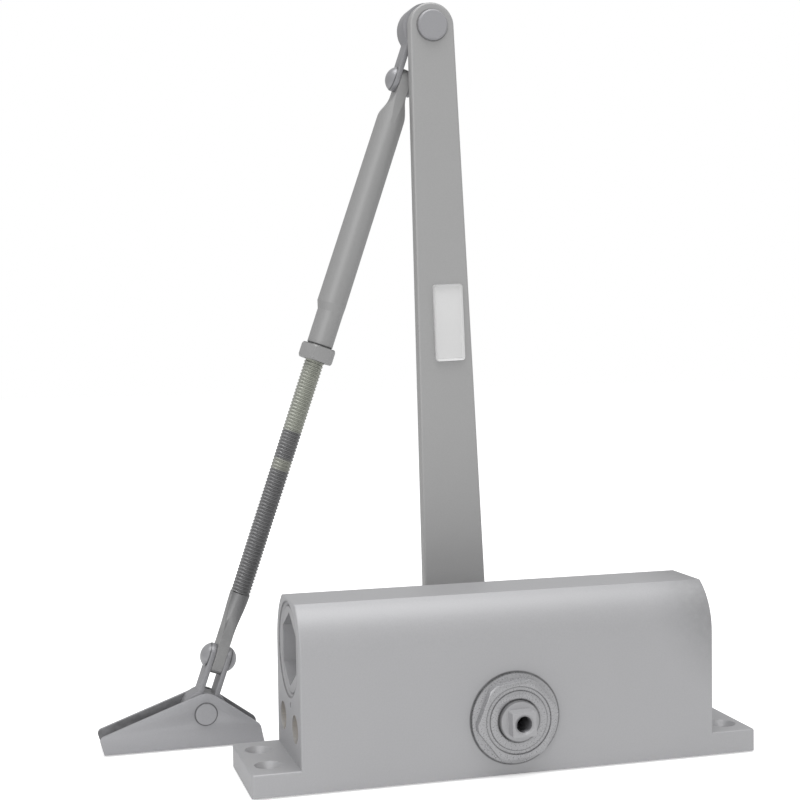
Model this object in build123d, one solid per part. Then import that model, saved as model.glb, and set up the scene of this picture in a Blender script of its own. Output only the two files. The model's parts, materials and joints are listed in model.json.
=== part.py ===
from build123d import *
from math import asin, atan, atan2, cos, degrees, hypot, pi, radians, sin, sqrt, tan
import os

os.makedirs("parts", exist_ok=True)

# Frame: the origin is the centre of the four mounting holes on the mounting face.
# +X runs along the cylinder, +Y points to the arm side, +Z away from the mounting face.
# All lengths are in millimetres and all angles in degrees.

# Housing
foot_length = 181.0
housing_width = 40.0
foot_thickness = 7.8
foot_corner_radius = 1.2
foot_edge_radius = 0.7
foot_overhang = 16.5
block_edge_radius = 0.6
top_wall = 2.0
piston_bore_radius = 15.0
spindle_height = 19.4
hole_from_end = 7.5
hole_from_side = 10.5
screw_hole_radius = 2.75
counterbore_radius = 4.8
counterbore_depth = 2.5
staking_radius = 1.0
staking_depth = 1.2
lower_mark_height = 25.6
lower_mark_offset_y = -3.0
bore_mouth_chamfer = 1.2

# Running and fitting clearances
running_clearance = 0.05
thread_clearance = 0.05
axial_play = 0.1

# End plugs
plug_thickness = 9.0
plug_below_face = 0.6
plug_socket_wall = 4.0
plug_socket_depth = 5.0
plug_edge_chamfer = 0.5
plug_groove_width = 2.1
plug_inner_land = 1.0
ring_wire_radius = 0.9

# Speed valves, one each side of the centre plane
valve_from_side = 10.0
valve_height = 19.0
valve_pocket_radius = 4.8
valve_pocket_depth = 8.0
valve_bore_radius = 3.0
valve_bore_depth = 22.0
valve_head_gap = 0.4
valve_head_seat_gap = 1.2
valve_head_below_face = 2.2
valve_slot_width = 1.1
valve_slot_depth = 1.3
needle_length = 4.0
needle_tip_radius = 0.6
channel_radius = 1.0
latching_port_from_face = 10.6
closing_port_from_face = 19.0

# Bearing caps
cap_collar_overlap = 0.65
cap_collar_height = 0.9
cap_hex_height = 3.3
cap_hex_inside_collar = 2.6
cap_corner_inside_collar = 1.25
cap_edge_chamfer = 0.8
cap_sleeve_length = 8.0
cap_lip_thickness = 2.6
cap_face_groove_from_flat = 1.55
cap_face_groove_width = 1.3
cap_face_groove_depth = 0.35
front_cap_turn = -8.0
rear_cap_turn = 17.0
bearing_wall = 3.3
bearing_recess = 0.8
seal_groove_depth = 1.9
seal_outer_clearance = 0.01

# Pinion shaft
journal_radius = 7.0
shoulder_step = 2.0
shoulder_proud = 1.3
square_across = 8.4
square_corner_radius = 5.7
tapped_radius = 2.7
tapped_depth = 11.0
tapped_mouth_radius = 3.5
drill_point_angle = 118.0
pinion_teeth = 12
gear_module = 2.0
pressure_angle = 20.0
pinion_side_gap = 3.0
pinion_chamber_gap = 1.0
pinion_root_clearance = 0.5
gear_backlash = 0.12
rack_addendum = 1.4
flank_steps = 4

# Piston and closing spring
spindle_travel = 135.0
piston_radius_clearance = 0.05
piston_stop_gap = 0.3
rack_pitch_inside = 2.35
piston_spring_land = 6.0
piston_edge_chamfer = 1.0
pinion_pass_clearance = 0.6
ball_radius = 2.4
ball_side_gap = 0.3
ball_lift_room = 1.7
ball_port_radius = 1.3
ball_port_run = 18.0
ball_seat_length = 4.0
spring_wire_radius = 1.6
spring_side_gap = 1.8
spring_turns = 5.0
spring_steps_per_turn = 18
wire_sides = 8

# Main arm, cranked away from the housing above its hub
arm_thickness = 4.6
arm_length = 244.7
arm_hub_radius = 12.5
arm_end_radius = 8.5
arm_crank = 16.8
arm_crank_start = 13.0
arm_crank_end = 33.0
arm_bend_radius = 6.0
arm_edge_radius = 0.8
arm_square_clearance = 0.05
arm_lean = 1.74
washer_radius = 7.2
washer_thickness = 1.4
square_below_washer = 0.1
screw_head_across = 10.0
screw_head_height = 4.0
screw_length = 10.0

# Elbow rivet
pivot_radius = 3.0
rivet_head_radius = 5.65
rivet_head_height = 1.8
rivet_head_fillet = 0.6
rivet_tail_radius = 4.9
rivet_tail_height = 2.2
spacer_radius = 7.6
tube_arm_gap = 0.5

# Forked knuckles at both ends of the forearm
knuckle_width = 9.4
elbow_eye_radius = 9.4
elbow_reach = 21.3
elbow_fork_offset = -1.8
shoe_eye_radius = 8.2
shoe_reach = 20.0
shoe_fork_offset = -0.8
fork_cheek = 1.8
fork_side_play = 0.1
fork_slot_depth = 13.0
tilt_rivet_radius = 2.5
dome_radius = 4.6
dome_height = 2.9

# Forearm: the thread axis lies a little to the right of the line between the rivets
blade_thickness = 4.0
thread_offset = 0.5
tube_wall = 1.45
tube_top_step = 0.3
tube_blade_length = 5.5
tube_taper_length = 11.2
tube_neck_slope = 3.0
tube_neck_length = 13.2
tube_neck_wall = 0.85
tube_length = 104.2
tube_solid_length = 20.2
tube_mouth_chamfer = 0.5
nut_across = 12.0
nut_height = 5.8
nut_edge_chamfer = 0.9
nut_turn = 8.0
rod_radius = 4.0
rod_flat_cut = 0.7
rod_in_tube = 25.5
rod_blade_length = 9.2
rod_blade_overhang = 5.8
rod_blade_corner_radius = 3.4
rod_taper_length = 17.0

# Shoe
shoe_pin_x = -95.87
shoe_eye_above_floor = 2.0
shoe_wall = 1.9
shoe_side_gap = 0.3
shoe_ear_radius = 7.3
shoe_left_reach = 38.2
shoe_left_undercut = 1.4
shoe_left_height = 4.9
shoe_right_reach = 20.3
shoe_right_toe = 1.1
shoe_right_height = 7.4
shoe_corner_radius = 1.8
shoe_right_corner_radius = 2.0
shoe_hole_radius = 2.4
shoe_hole_from_left = 13.2
shoe_hole_from_right = 7.8
shoe_head_radius = 4.0
shoe_head_height = 0.5

# Housing and gears: the rack's pitch line sets the cylinder's height above the spindle
half_width = housing_width / 2
block_length = foot_length - 2 * foot_overhang
block_end = block_length / 2
hole_spacing_x = foot_length - 2 * hole_from_end
hole_spacing_y = housing_width - 2 * hole_from_side
piston_radius = piston_bore_radius - piston_radius_clearance
pitch_radius = gear_module * pinion_teeth / 2
pinion_outer = pitch_radius + gear_module
pinion_root = pitch_radius - rack_addendum - pinion_root_clearance
rack_pitch_drop = piston_radius - rack_pitch_inside
rack_tip_drop = rack_pitch_drop + rack_addendum
rack_root_drop = rack_pitch_drop - gear_module - pinion_root_clearance
bore_height = spindle_height + pitch_radius + rack_pitch_drop
housing_height = bore_height + piston_bore_radius + top_wall
piston_travel = pitch_radius * radians(spindle_travel)
pinion_face_width = 2 * (half_width - cap_sleeve_length - pinion_side_gap)
side_bore_radius = pinion_outer + pinion_chamber_gap

# Plugs, valves, check valve and spring
plug_inner = block_end - plug_thickness
plug_socket_across = 2 * (piston_bore_radius - plug_socket_wall)
plug_groove_from_face = plug_thickness - plug_inner_land - plug_groove_width
valve_offset_y = half_width - valve_from_side
valve_head_radius = valve_pocket_radius - valve_head_gap
valve_head_length = valve_pocket_depth - valve_head_below_face - valve_head_seat_gap
ball_bore_radius = ball_radius + ball_side_gap
ball_bore_depth = ball_seat_length + 2 * ball_radius + ball_lift_room
spring_mean_radius = piston_bore_radius - spring_side_gap - spring_wire_radius

# Bearing caps and shaft
cap_face = half_width + cap_collar_height + cap_hex_height
cap_collar_radius = side_bore_radius + cap_collar_overlap
cap_corner_radius = cap_collar_radius - cap_corner_inside_collar
cap_hex_across = 2 * (cap_collar_radius - cap_hex_inside_collar)
cap_face_groove_outer = cap_hex_across / 2 - cap_face_groove_from_flat
cap_face_groove_inner = cap_face_groove_outer - cap_face_groove_width
bearing_outer_radius = journal_radius + bearing_wall
bearing_length = cap_sleeve_length - bearing_recess
seal_groove_radius = journal_radius + seal_groove_depth
seal_wire_radius = (seal_groove_depth - running_clearance - seal_outer_clearance) / 2
shoulder_radius = journal_radius + shoulder_step
shaft_shoulder = cap_face + shoulder_proud

# Arm and forearm
hub_front = shaft_shoulder
hub_back = hub_front + arm_thickness
bar_front = hub_front + arm_crank
bar_back = bar_front + arm_thickness
shaft_tip = hub_back - square_below_washer
tube_bore_radius = rod_radius + running_clearance
tube_radius = tube_bore_radius + tube_wall
tube_top_radius = tube_radius - tube_top_step
tube_neck_radius = tube_bore_radius + tube_neck_wall
tube_neck_start = tube_length - tube_neck_length - tube_neck_slope
tube_bore_length = tube_length - tube_solid_length
rod_flat_width = 2 * (rod_radius - rod_flat_cut)
blade_half_width = knuckle_width / 2
spacer_thickness = tube_radius + tube_arm_gap - blade_half_width - axial_play
knuckle_front = bar_back + spacer_thickness + axial_play
knuckle_centre_y = knuckle_front + blade_half_width
elbow_x = -arm_length * sin(radians(arm_lean))
elbow_z = spindle_height + arm_length * cos(radians(arm_lean))
fork_gap = blade_thickness + 2 * fork_side_play
fork_outer = fork_gap + 2 * fork_cheek

# Shoe
shoe_pin_height = shoe_wall + shoe_eye_radius + shoe_eye_above_floor
shoe_left_foot = shoe_left_reach - shoe_left_undercut
shoe_right_foot = shoe_right_reach + shoe_right_toe
shoe_hole_left = shoe_left_reach - shoe_hole_from_left
shoe_hole_right = shoe_right_reach - shoe_hole_from_right

# The forearm reaches from the elbow to the shoe pin, so its length and lean follow
link_across = elbow_fork_offset - shoe_fork_offset
link_span = hypot(elbow_x - shoe_pin_x, elbow_z - shoe_pin_height)
link_along = sqrt(link_span**2 - link_across**2)
link_slope = degrees(atan2(elbow_x - shoe_pin_x, elbow_z - shoe_pin_height))
forearm_lean = link_slope + degrees(atan2(link_across, link_along))
forearm_length = link_along - elbow_reach - shoe_reach
rod_length = round(forearm_length - tube_length + rod_in_tube, 1)

elbow_frame = Pos(elbow_x, knuckle_centre_y, elbow_z) * Rot(0, forearm_lean, 0)
elbow_rivet_frame = elbow_frame * Pos(elbow_fork_offset, 0, -elbow_reach)
shoe_frame = Pos(shoe_pin_x, knuckle_centre_y, shoe_pin_height)
shoe_link_frame = shoe_frame * Rot(0, forearm_lean, 0)
shoe_rivet_frame = shoe_link_frame * Pos(shoe_fork_offset, 0, shoe_reach)


def turned_on_x(points):
    """Solid of revolution about X from (x, radius) points."""
    return revolve(make_face(Polyline(*points, close=True)), Axis.X)


def turned_on_y(points):
    """Solid of revolution about Y from (y, radius) points."""
    outline = [(radius, y) for y, radius in points]
    return revolve(make_face(Polyline(*outline, close=True)), Axis.Y)


def rod_along_y(radius, start, end):
    return Pos(0, (start + end) / 2, 0) * Rot(90, 0, 0) * Cylinder(radius, end - start)


def rod_along_x(radius, start, end):
    return Pos((start + end) / 2, 0, 0) * Rot(0, 90, 0) * Cylinder(radius, end - start)


def plate_in_xz(outline, start, end):
    """Plate from an outline drawn in X and Z, between two values of Y."""
    return Pos(0, end, 0) * extrude(Plane.XZ * outline, amount=end - start)


def foot_plate():
    plate = Pos(0, 0, foot_thickness / 2) * Box(foot_length, housing_width, foot_thickness)
    plate = fillet(plate.edges().filter_by(Axis.Z), foot_corner_radius)
    return fillet(plate.faces().sort_by(Axis.Z)[-1].edges(), foot_edge_radius)


def cylinder_block():
    """Straight sides that run into a round top with a narrow flat crown."""
    sides = Pos(0, bore_height / 2) * Rectangle(housing_width, bore_height)
    crown = Pos(0, bore_height) * Circle(half_width)
    limit = Pos(0, housing_height / 2) * Rectangle(housing_width, housing_height)
    section = (sides + crown) & limit
    block = extrude(Plane.YZ * section, amount=block_end, both=True)
    ends = block.faces().filter_by(Axis.X)
    return fillet(ends.edges(), block_edge_radius)


def mounting_holes():
    """Through holes, each with a shallow cone for the screw head."""
    holes = []
    for place in GridLocations(hole_spacing_x, hole_spacing_y, 2, 2):
        through = Pos(0, 0, foot_thickness / 2) * Cylinder(screw_hole_radius, 2 * foot_thickness)
        sink = Cone(screw_hole_radius, counterbore_radius, counterbore_depth)
        holes += [place * through, place * Pos(0, 0, foot_thickness - counterbore_depth / 2) * sink]
        above = Pos(0, 0, foot_thickness + counterbore_depth / 2)
        holes += [place * above * Cylinder(counterbore_radius, counterbore_depth)]
    return holes


def valve_passages(side, port_from_face):
    """Pocket, screw bore, port up to the cylinder and channel to the pinion chamber."""
    axis_place = Pos(0, side * valve_offset_y, valve_height)
    pocket_floor = -block_end + valve_pocket_depth
    bore_floor = -block_end + valve_bore_depth
    port_top = bore_height - sqrt(piston_bore_radius**2 - valve_offset_y**2) + 2 * channel_radius
    port = Pos(-block_end + port_from_face, 0, (port_top - valve_height) / 2)
    return [
        axis_place * rod_along_x(valve_pocket_radius, -block_end - 1, pocket_floor),
        axis_place * rod_along_x(valve_bore_radius, pocket_floor - 1, bore_floor),
        axis_place * rod_along_x(channel_radius, bore_floor - 1, 0),
        axis_place * port * Cylinder(channel_radius, port_top - valve_height),
    ]


def bore_mouth():
    """Chamfer of the cylinder bore in the right end face."""
    start = block_end - bore_mouth_chamfer
    wide = piston_bore_radius + bore_mouth_chamfer
    cone = turned_on_x([(start, 0), (start, piston_bore_radius), (block_end, wide), (block_end, 0)])
    return Pos(0, 0, bore_height) * cone


def staking_mark(end, offset_y, height):
    """Punch mark in an end face, beside the plug."""
    return Pos(end * block_end, offset_y, height) * rod_along_x(staking_radius, -staking_depth, staking_depth)


def housing():
    body = cylinder_block() + foot_plate()
    cuts = [Pos(0, 0, bore_height) * rod_along_x(piston_bore_radius, -block_end - 1, block_end + 1)]
    cuts += [bore_mouth(), mirror(bore_mouth(), Plane.YZ)]
    cuts += [Pos(0, 0, spindle_height) * rod_along_y(side_bore_radius, -half_width - 1, half_width + 1)]
    cuts += mounting_holes()
    cuts += valve_passages(-1, closing_port_from_face)
    cuts += valve_passages(1, latching_port_from_face)
    top_mark_height = bore_height + piston_bore_radius + staking_radius / 2
    for end in (-1, 1):
        cuts += [staking_mark(end, 0, top_mark_height)]
        cuts += [staking_mark(end, lower_mark_offset_y, lower_mark_height)]
    return body - cuts


def end_plug():
    """Screwed plug for the right end, with a wide hexagon socket outwards."""
    face = block_end - plug_below_face
    rim = piston_bore_radius - thread_clearance
    groove_floor = rim - running_clearance - 2 * ring_wire_radius
    groove_outer = block_end - plug_groove_from_face
    groove_inner = groove_outer - plug_groove_width
    plug = turned_on_x([
        (plug_inner, 0),
        (plug_inner, rim),
        (groove_inner, rim),
        (groove_inner, groove_floor),
        (groove_outer, groove_floor),
        (groove_outer, rim),
        (face - plug_edge_chamfer, rim),
        (face, rim - plug_edge_chamfer),
        (face, 0),
    ])
    socket_outline = Rot(0, 0, 90) * RegularPolygon(plug_socket_across / 2, 6, major_radius=False)
    socket_floor = face - plug_socket_depth
    socket = Pos(socket_floor, 0, 0) * extrude(Plane.YZ * socket_outline, amount=plug_socket_depth + 1)
    return Pos(0, 0, bore_height) * (plug - socket)


def ring_section(radius):
    """Eight-sided section of a round seal ring."""
    return Rot(0, 0, 180 / wire_sides) * RegularPolygon(radius, wire_sides)


def end_plug_ring():
    centre = block_end - plug_groove_from_face - plug_groove_width / 2
    major = piston_bore_radius - running_clearance - ring_wire_radius
    section = Pos(centre, major) * ring_section(ring_wire_radius)
    return Pos(0, 0, bore_height) * revolve(section, Axis.X)


def on_both_ends(solid):
    return Compound([solid, mirror(solid, Plane.YZ)])


def valve_screw(side):
    """Slotted needle screw, seated in its pocket in the left end face."""
    head_face = -block_end + valve_head_below_face
    head_back = head_face + valve_head_length
    shank_radius = valve_bore_radius - running_clearance
    tip = -block_end + valve_bore_depth - 1
    screw = turned_on_x([
        (head_face, 0),
        (head_face, valve_head_radius),
        (head_back, valve_head_radius),
        (head_back, shank_radius),
        (tip - needle_length, shank_radius),
        (tip, needle_tip_radius),
        (tip, 0),
    ])
    slot = Pos(head_face, 0, 0) * Box(2 * valve_slot_depth, 3 * valve_head_radius, valve_slot_width)
    return Pos(0, side * valve_offset_y, valve_height) * (screw - slot)


def bearing_cap(turn):
    """Hexagonal screw cap of the rear side, with its bearing and seal seats."""
    sleeve = side_bore_radius - thread_clearance
    sleeve_end = half_width - cap_sleeve_length
    seal_end = cap_face - cap_lip_thickness
    seal_start = seal_end - 2 * seal_wire_radius
    collar_face = half_width + cap_collar_height
    bearing_end = sleeve_end + bearing_length
    turned = turned_on_y([
        (sleeve_end, bearing_outer_radius),
        (sleeve_end, sleeve),
        (half_width, sleeve),
        (half_width, cap_collar_radius),
        (collar_face, cap_collar_radius),
        (collar_face, cap_corner_radius),
        (cap_face - cap_edge_chamfer / 2, cap_corner_radius),
        (cap_face, cap_corner_radius - cap_edge_chamfer),
        (cap_face, cap_face_groove_outer),
        (cap_face - cap_face_groove_depth, cap_face_groove_outer),
        (cap_face - cap_face_groove_depth, cap_face_groove_inner),
        (cap_face, cap_face_groove_inner),
        (cap_face, journal_radius + 2 * running_clearance),
        (seal_end, journal_radius + 2 * running_clearance),
        (seal_end, seal_groove_radius),
        (seal_start, seal_groove_radius),
        (bearing_end, seal_groove_radius),
        (bearing_end, bearing_outer_radius),
    ])
    disc = Circle(2 * cap_collar_radius)
    hexagon = RegularPolygon(cap_hex_across / 2, 6, major_radius=False)
    around = plate_in_xz(disc - Rot(0, 0, -turn) * hexagon, collar_face, cap_face + 1)
    return Pos(0, 0, spindle_height) * (turned - around)


def bearing():
    start = half_width - cap_sleeve_length + running_clearance
    end = start + bearing_length - 2 * running_clearance
    return Pos(0, 0, spindle_height) * turned_on_y([
        (start, journal_radius + running_clearance),
        (start, bearing_outer_radius - running_clearance),
        (end, bearing_outer_radius - running_clearance),
        (end, journal_radius + running_clearance),
    ])


def shaft_ring():
    major = journal_radius + running_clearance + seal_wire_radius
    centre = cap_face - cap_lip_thickness - seal_wire_radius
    section = Pos(major, centre) * ring_section(seal_wire_radius)
    return Pos(0, 0, spindle_height) * revolve(section, Axis.Y)


def involute_point(base, radius, tooth_half_angle):
    """Point on the right flank of the tooth that points along +Y of its sketch."""
    roll = sqrt((radius / base) ** 2 - 1)
    turn = tooth_half_angle - (roll - atan(roll))
    return (radius * sin(turn), radius * cos(turn))


def pinion_tooth():
    """One involute tooth, from inside the root circle to the tip."""
    alpha = radians(pressure_angle)
    base = pitch_radius * cos(alpha)
    half_at_pitch = (pi * gear_module / 2 - gear_backlash) / 2 / pitch_radius
    half_at_base = half_at_pitch + tan(alpha) - alpha
    flank = []
    for step in range(flank_steps + 1):
        radius = base + (pinion_outer - base) * step / flank_steps
        flank.append(involute_point(base, radius, half_at_base))
    foot_half = (pinion_root - gear_module) * sin(half_at_base)
    right = [(foot_half, pinion_root - gear_module)] + flank
    left = [(-x, y) for x, y in reversed(right)]
    return make_face(Polyline(*right, *left, close=True))


def pinion_outline():
    outline = Circle(pinion_root)
    for place in PolarLocations(0, pinion_teeth, start_angle=0):
        outline += place * pinion_tooth()
    return outline


def square_end(start, end):
    """Milled square with turned corners, in line with the arm."""
    square = Rectangle(square_across, square_across) & Circle(square_corner_radius)
    return plate_in_xz(Rot(0, 0, arm_lean) * square, start, end)


def pinion_shaft():
    bearing_start = half_width - cap_sleeve_length
    shaft = rod_along_y(journal_radius, -shaft_shoulder, shaft_shoulder)
    shaft += rod_along_y(shoulder_radius, -bearing_start + axial_play, bearing_start - axial_play)
    shaft += plate_in_xz(pinion_outline(), -pinion_face_width / 2, pinion_face_width / 2)
    shaft += square_end(shaft_shoulder - 1, shaft_tip)
    shaft += square_end(-shaft_tip, -shaft_shoulder + 1)
    mouth_depth = tapped_mouth_radius - tapped_radius
    point_length = tapped_radius / tan(radians(drill_point_angle / 2))
    hole = turned_on_y([
        (shaft_tip - tapped_depth - point_length, 0),
        (shaft_tip - tapped_depth, tapped_radius),
        (shaft_tip - mouth_depth, tapped_radius),
        (shaft_tip, tapped_mouth_radius),
        (shaft_tip, 0),
    ])
    shaft -= [hole, mirror(hole, Plane.XZ)]
    return Pos(0, 0, spindle_height) * shaft


def rack_space():
    """Tooth space of the rack, open downwards, drawn about the piston axis."""
    slope = tan(radians(pressure_angle))
    half_at_pitch = (pi * gear_module / 2 + gear_backlash) / 2
    mouth_drop = piston_radius + 1
    mouth_half = half_at_pitch + (mouth_drop - rack_pitch_drop) * slope
    root_half = half_at_pitch - (rack_pitch_drop - rack_root_drop) * slope
    return Polyline(
        (-mouth_half, -mouth_drop),
        (mouth_half, -mouth_drop),
        (root_half, -rack_root_drop),
        (-root_half, -rack_root_drop),
        close=True,
    )


def piston():
    """Steel piston with the rack cut in its underside and a check valve bore."""
    left_end = -plug_inner + piston_stop_gap
    reach = sqrt(pinion_outer**2 - (bore_height - piston_radius - spindle_height) ** 2)
    rack_start = -piston_travel - reach - pinion_pass_clearance
    rack_end = reach + pinion_pass_clearance
    right_end = rack_end + piston_spring_land
    body = chamfer(rod_along_x(piston_radius, left_end, right_end).edges(), piston_edge_chamfer)
    flat_height = piston_radius - rack_tip_drop
    flat = Pos((rack_start + rack_end) / 2, 0, -rack_tip_drop - flat_height)
    cuts = [flat * Box(rack_end - rack_start, 2 * piston_radius, 2 * flat_height)]
    pitch = pi * gear_module
    space = make_face(rack_space())
    for step in range(int((rack_start + pitch / 2) / pitch), int((rack_end - pitch / 2) / pitch) + 1):
        outline = Pos(step * pitch, 0) * space
        cuts += [plate_in_xz(outline, -piston_radius - 1, piston_radius + 1)]
    bore_end = left_end + ball_bore_depth
    port_end = left_end + ball_port_run
    cuts += [rod_along_x(ball_bore_radius, left_end - 1, bore_end)]
    cuts += [rod_along_x(ball_port_radius, bore_end - 1, port_end + ball_port_radius)]
    cuts += [Pos(port_end, 0, -piston_radius / 2) * Cylinder(ball_port_radius, piston_radius)]
    return Pos(0, 0, bore_height) * (body - cuts), right_end


def check_valve_ball():
    seat_x = -plug_inner + piston_stop_gap + ball_bore_depth
    stand_off = sqrt(ball_radius**2 - ball_port_radius**2) + running_clearance
    return Pos(seat_x - stand_off, 0, bore_height) * Sphere(ball_radius)


def check_valve_retainer():
    start = -plug_inner + piston_stop_gap
    end = start + ball_seat_length
    ring = rod_along_x(ball_bore_radius - running_clearance, start, end)
    return Pos(0, 0, bore_height) * (ring - rod_along_x(ball_port_radius, start - 1, end + 1))


def closing_spring(piston_end):
    """Coil of short straight runs, which keeps this hidden piece light."""
    start = piston_end + spring_wire_radius + axial_play
    end = plug_inner - spring_wire_radius - axial_play
    steps = round(spring_turns * spring_steps_per_turn)
    points = []
    for step in range(steps + 1):
        turn = 2 * pi * spring_turns * step / steps
        along = start + (end - start) * step / steps
        points.append((along, spring_mean_radius * cos(turn), spring_mean_radius * sin(turn)))
    path = Polyline(*points)
    wire_plane = Plane(origin=path @ 0, z_dir=path % 0)
    coil = sweep(wire_plane * RegularPolygon(spring_wire_radius, wire_sides), path, transition=Transition.RIGHT)
    return Pos(0, 0, bore_height) * coil


def arm_side_view():
    """Strip in Y and Z that steps away from the housing between two bends."""
    front = FilletPolyline(
        (hub_front, -arm_hub_radius - 1),
        (hub_front, arm_crank_start),
        (bar_front, arm_crank_end),
        (bar_front, arm_length + arm_end_radius + 1),
        radius=arm_bend_radius,
    )
    return make_face(offset(front, amount=arm_thickness, side=Side.RIGHT))


def main_arm():
    """Tapered cranked bar with round ends, keyed on the shaft by a square hole."""
    side_turn = asin((arm_hub_radius - arm_end_radius) / arm_length)
    across = cos(side_turn)
    along = sin(side_turn)
    bar = Polyline(
        (-arm_hub_radius * across, arm_hub_radius * along),
        (arm_hub_radius * across, arm_hub_radius * along),
        (arm_end_radius * across, arm_length + arm_end_radius * along),
        (-arm_end_radius * across, arm_length + arm_end_radius * along),
        close=True,
    )
    outline = make_face(bar) + Circle(arm_hub_radius) + Pos(0, arm_length) * Circle(arm_end_radius)
    arm = plate_in_xz(outline, hub_front - 1, bar_back + 1)
    arm &= extrude(Plane.YZ * arm_side_view(), amount=2 * arm_hub_radius, both=True)
    across_edges = arm.edges().filter_by(Axis.X) + arm.edges().filter_by(Axis.Y)
    arm = fillet([edge for edge in arm.edges() if edge not in across_edges], arm_edge_radius)
    hole_side = square_across + 2 * arm_square_clearance
    arm -= plate_in_xz(Rectangle(hole_side, hole_side), hub_front - 1, hub_back + 1)
    pivot = rod_along_y(pivot_radius + running_clearance, bar_front - 1, bar_back + 1)
    arm -= Pos(0, 0, arm_length) * pivot
    return Pos(0, 0, spindle_height) * Rot(0, -arm_lean, 0) * arm


def arm_washer():
    start = hub_back
    ring = rod_along_y(washer_radius, start, start + washer_thickness)
    hole = rod_along_y(tapped_mouth_radius, start - 1, start + washer_thickness + 1)
    return Pos(0, 0, spindle_height) * (ring - hole)


def arm_screw():
    seat = hub_back + washer_thickness
    head_outline = RegularPolygon(screw_head_across / 2, 6, major_radius=False)
    head = plate_in_xz(head_outline, seat, seat + screw_head_height)
    shank = rod_along_y(tapped_radius - running_clearance, seat - screw_length, seat)
    return Pos(0, 0, spindle_height) * (head + shank)


def elbow_rivet():
    tail_seat = knuckle_front + knuckle_width + axial_play
    head_face = bar_front - rivet_head_height
    body = turned_on_y([
        (head_face, 0),
        (head_face, rivet_head_radius - rivet_head_fillet),
        (head_face + rivet_head_fillet, rivet_head_radius),
        (bar_front, rivet_head_radius),
        (bar_front, pivot_radius),
        (tail_seat, pivot_radius),
        (tail_seat, rivet_tail_radius),
        (tail_seat + rivet_tail_height / 2, rivet_tail_radius - rivet_tail_height / 3),
        (tail_seat + rivet_tail_height, rivet_tail_radius / 2),
        (tail_seat + rivet_tail_height, 0),
    ])
    return Pos(elbow_x, 0, elbow_z) * body


def elbow_spacer():
    end = bar_back + spacer_thickness
    ring = rod_along_y(spacer_radius, bar_back, end)
    hole = rod_along_y(pivot_radius + running_clearance, bar_back - 1, end + 1)
    return Pos(elbow_x, 0, elbow_z) * (ring - hole)


def knuckle(eye_radius, reach, fork_offset):
    """Eye on Y at the origin, with a fork that reaches up to the tilt rivet."""
    half = knuckle_width / 2
    fork_top = reach + half
    eye = Circle(eye_radius)
    fork = Pos(fork_offset, fork_top / 2) * Rectangle(fork_outer, fork_top)
    solid = plate_in_xz(eye + fork, -half, half)
    flank_height = reach + eye_radius
    flank = Pos(0, reach - flank_height / 2) * Rectangle(knuckle_width, flank_height)
    side_view = flank + Pos(0, reach) * Circle(half)
    solid = solid & extrude(Plane.YZ * side_view, amount=2 * eye_radius, both=True)
    slot_floor = reach - fork_slot_depth
    slot_height = fork_top + 1 - slot_floor
    slot = Pos(fork_offset, 0, slot_floor + slot_height / 2) * Box(fork_gap, 2 * half + 2, slot_height)
    eye_hole = rod_along_y(pivot_radius + running_clearance, -half - 1, half + 1)
    hole_reach = fork_outer / 2 + 1
    tilt_hole = rod_along_x(tilt_rivet_radius + running_clearance, -hole_reach, hole_reach)
    return solid - [slot, eye_hole, Pos(fork_offset, 0, reach) * tilt_hole]


def tilt_rivet():
    """Round-headed rivet along X at the origin, outside both fork cheeks."""
    seat = fork_outer / 2
    top = seat + dome_height
    half_turn = atan(dome_height / dome_radius)
    crown = dome_radius / sin(2 * half_turn)
    middle = (top - crown + crown * cos(half_turn), crown * sin(half_turn))
    dome = ThreePointArc((seat, dome_radius), middle, (top, 0))
    edges = [
        Line((0, 0), (0, tilt_rivet_radius)),
        Line((0, tilt_rivet_radius), (seat, tilt_rivet_radius)),
        Line((seat, tilt_rivet_radius), (seat, dome_radius)),
        dome,
        Line((top, 0), (0, 0)),
    ]
    half_rivet = revolve(make_face(edges), Axis.X)
    return half_rivet + mirror(half_rivet, Plane.YZ)


def flare_outline(low, half_below, middle_below):
    """Front view of a flare in X and Z, from the blade's thickness at its top."""
    half = blade_thickness / 2
    right_end = middle_below + half_below
    left_end = middle_below - half_below
    return make_face([
        Line((-half, 0), (half, 0)),
        Spline((half, 0), (right_end, low), tangents=((0, -1), (0, -1))),
        Line((right_end, low), (left_end, low)),
        Spline((left_end, low), (-half, 0), tangents=((0, 1), (0, 1))),
    ])


def flare(taper_length, round_radius, half_below, middle_below):
    """Stretch between a blade and a round bar, with the blade's end at the origin."""
    low = -taper_length
    blade_corner = hypot(blade_thickness / 2, blade_half_width)
    core = loft([Circle(blade_corner), Pos(middle_below, 0, low) * Circle(round_radius)])
    side_view = make_face(Polyline(
        (-blade_half_width, 0),
        (blade_half_width, 0),
        (round_radius, low),
        (-round_radius, low),
        close=True,
    ))
    core &= extrude(Plane.YZ * side_view, amount=2 * blade_corner, both=True)
    return core & plate_in_xz(flare_outline(low, half_below, middle_below), -blade_corner, blade_corner)


def blade(outline):
    """Flat end about the rivet hole at the origin, from its side view in Y and Z."""
    plate = extrude(Plane.YZ * outline, amount=blade_thickness / 2, both=True)
    return plate - rod_along_x(tilt_rivet_radius + running_clearance, -blade_thickness, blade_thickness)


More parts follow.
